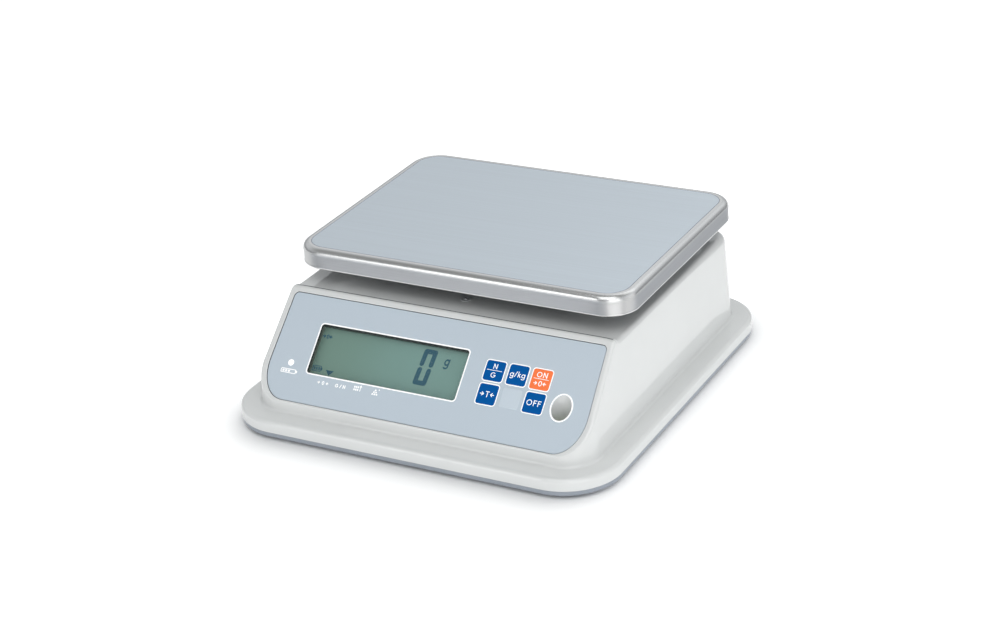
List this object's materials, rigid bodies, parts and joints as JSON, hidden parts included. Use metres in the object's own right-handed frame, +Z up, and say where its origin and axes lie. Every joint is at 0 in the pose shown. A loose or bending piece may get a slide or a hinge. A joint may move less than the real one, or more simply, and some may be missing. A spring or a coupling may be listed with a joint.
{
  "type": "bench weighing scale",
  "caption": "Compact bench weighing scale: lift-off stainless pan on a single-point load cell, moulded housing with sloped display and key panel, blue-grey base tray on screw feet.",
  "frame": {"origin": "on the table under the middle of the base outline", "axes": "+Z up, +Y from the display panel to the rear, +X to the right as seen by someone reading the display"},
  "size_m": [0.2584, 0.2648, 0.0951],
  "materials": {
    "housing_plastic": "off-white semi-gloss moulded housing",
    "tray_plastic": "blue-grey moulded tray",
    "stainless_pan": "fine brushed stainless sheet",
    "aluminium": "bare machined or cast",
    "zinc_steel": "bright zinc plated",
    "spring_steel": "thin snap domes",
    "brass": "turned",
    "seal_rubber": "soft black rubber",
    "foot_rubber": "foot sole rubber",
    "foot_plastic": "dark grey moulded cup",
    "overlay_film": "light blue-grey printed film, fine texture",
    "key_blue": "blue printed key",
    "key_orange": "orange printed key",
    "clear_window": "clear window",
    "lcd_glass": "green-grey liquid crystal cell",
    "milky_plastic": "milky light guide",
    "black_plastic": "black moulded",
    "circuit_board": "green solder mask",
    "spacer_film": "polyester film",
    "circuit_film": "printed polyester film",
    "vial_plastic": "level cup",
    "level_fluid": "tinted level window",
    "battery_case": "dark sealed battery case",
    "grey_cable": "grey insulation",
    "red_cable": "red insulation"
  },
  "bodies": {
    "chassis": {"base_plate": "tray_plastic", "base_gasket": "seal_rubber", "upper_housing": "housing_plastic", "housing_screws": "zinc_steel", "foot_inserts": "brass", "cell_pedestal": "aluminium", "pedestal_screws": "zinc_steel", "fixed_end_bolts": "zinc_steel", "load_cell": "aluminium", "overload_stop": "zinc_steel", "seal_boot": "seal_rubber", "deck_stops": "zinc_steel", "front_overlay": "overlay_film", "lcd_window": "clear_window", "lcd_glass": "lcd_glass", "lcd_frame": "black_plastic", "lcd_backlight": "milky_plastic", "zebra_strips": "seal_rubber", "display_board": "circuit_board", "display_components": "black_plastic", "display_screws": "zinc_steel", "keypad_spacer": "spacer_film", "keypad_circuit": "circuit_film", "key_domes": "spring_steel", "led_light_pipe": "milky_plastic", "charge_led": "milky_plastic", "level_vial": "vial_plastic", "level_lens": "level_fluid", "main_board": "circuit_board", "board_standoffs": "brass", "board_screws": "zinc_steel", "board_components": "black_plastic", "battery": "battery_case", "battery_cover": "tray_plastic", "battery_cover_screws": "zinc_steel", "dc_jack": "black_plastic", "jack_nut": "zinc_steel", "cell_cable": "grey_cable", "battery_lead": "red_cable", "display_ribbon": "grey_cable"},
    "platform": {"sub_platform": "aluminium", "live_end_spacer": "zinc_steel", "live_end_bolts": "zinc_steel", "pan_cushions": "seal_rubber"},
    "pan": {"weighing_pan": "stainless_pan"},
    "key_net_gross_body": {"key_net_gross": "key_blue"},
    "key_unit_body": {"key_unit": "key_blue"},
    "key_on_zero_body": {"key_on_zero": "key_orange"},
    "key_tare_body": {"key_tare": "key_blue"},
    "key_off_body": {"key_off": "key_blue"},
    "jack_flap": {"jack_cover": "seal_rubber"},
    "foot_sole_front_left_body": {"foot_sole_front_left": "foot_rubber"},
    "foot_screw_front_left_body": {"foot_screw_front_left": "foot_plastic"},
    "foot_sole_front_right_body": {"foot_sole_front_right": "foot_rubber"},
    "foot_screw_front_right_body": {"foot_screw_front_right": "foot_plastic"},
    "foot_sole_rear_left_body": {"foot_sole_rear_left": "foot_rubber"},
    "foot_screw_rear_left_body": {"foot_screw_rear_left": "foot_plastic"},
    "foot_sole_rear_right_body": {"foot_sole_rear_right": "foot_rubber"},
    "foot_screw_rear_right_body": {"foot_screw_rear_right": "foot_plastic"}
  },
  "joints": [
    {"name": "platform_deflection", "type": "slide", "parent": "chassis", "child": "platform", "axis": [0, 0, -1], "range_m": [0, 0.0006], "stiffness_N_per_m": 150000, "springref_m": -0.0001, "deforming": ["load_cell", "seal_boot"]},
    {"name": "pan_lift", "type": "slide", "parent": "platform", "child": "pan", "axis": [0, 0, 1], "range_m": [0, 0.04]},
    {"name": "press_net_gross", "type": "slide", "parent": "chassis", "child": "key_net_gross_body", "axis": [0, 0.6928, -0.7212], "range_m": [0, 0.0004], "stiffness_N_per_m": 2000, "springref_m": -0.0002},
    {"name": "press_unit", "type": "slide", "parent": "chassis", "child": "key_unit_body", "axis": [0, 0.6928, -0.7212], "range_m": [0, 0.0004], "stiffness_N_per_m": 2000, "springref_m": -0.0002},
    {"name": "press_on_zero", "type": "slide", "parent": "chassis", "child": "key_on_zero_body", "axis": [0, 0.6928, -0.7212], "range_m": [0, 0.0004], "stiffness_N_per_m": 2000, "springref_m": -0.0002},
    {"name": "press_tare", "type": "slide", "parent": "chassis", "child": "key_tare_body", "axis": [0, 0.6928, -0.7212], "range_m": [0, 0.0004], "stiffness_N_per_m": 2000, "springref_m": -0.0002},
    {"name": "press_off", "type": "slide", "parent": "chassis", "child": "key_off_body", "axis": [0, 0.6928, -0.7212], "range_m": [0, 0.0004], "stiffness_N_per_m": 2000, "springref_m": -0.0002},
    {"name": "jack_cover_hinge", "type": "hinge", "parent": "chassis", "child": "jack_flap", "pos_m": [-0.0672, 0.1148, 0.0382], "axis": [1, 0, 0], "range_deg": [0, 110]},
    {"name": "foot_travel_front_left", "type": "slide", "parent": "chassis", "child": "foot_sole_front_left_body", "axis": [0, 0, -1], "range_m": [-0.0014, 0.00501]},
    {"name": "foot_turn_front_left", "type": "hinge", "parent": "foot_sole_front_left_body", "child": "foot_screw_front_left_body", "pos_m": [-0.096, -0.098, 0.004], "axis": [0, 0, -1], "range_deg": [-500, 1800]},
    {"name": "foot_travel_front_right", "type": "slide", "parent": "chassis", "child": "foot_sole_front_right_body", "axis": [0, 0, -1], "range_m": [-0.0014, 0.00501]},
    {"name": "foot_turn_front_right", "type": "hinge", "parent": "foot_sole_front_right_body", "child": "foot_screw_front_right_body", "pos_m": [0.096, -0.098, 0.004], "axis": [0, 0, -1], "range_deg": [-500, 1800]},
    {"name": "foot_travel_rear_left", "type": "slide", "parent": "chassis", "child": "foot_sole_rear_left_body", "axis": [0, 0, -1], "range_m": [-0.0014, 0.00501]},
    {"name": "foot_turn_rear_left", "type": "hinge", "parent": "foot_sole_rear_left_body", "child": "foot_screw_rear_left_body", "pos_m": [-0.096, 0.098, 0.004], "axis": [0, 0, -1], "range_deg": [-500, 1800]},
    {"name": "foot_travel_rear_right", "type": "slide", "parent": "chassis", "child": "foot_sole_rear_right_body", "axis": [0, 0, -1], "range_m": [-0.0014, 0.00501]},
    {"name": "foot_turn_rear_right", "type": "hinge", "parent": "foot_sole_rear_right_body", "child": "foot_screw_rear_right_body", "pos_m": [0.096, 0.098, 0.004], "axis": [0, 0, -1], "range_deg": [-500, 1800]}
  ],
  "couplings": [
    {"joint": "foot_travel_front_left", "follows": "foot_turn_front_left", "m_per_rad": 0.00015915},
    {"joint": "foot_travel_front_right", "follows": "foot_turn_front_right", "m_per_rad": 0.00015915},
    {"joint": "foot_travel_rear_left", "follows": "foot_turn_rear_left", "m_per_rad": 0.00015915},
    {"joint": "foot_travel_rear_right", "follows": "foot_turn_rear_right", "m_per_rad": 0.00015915}
  ]
}
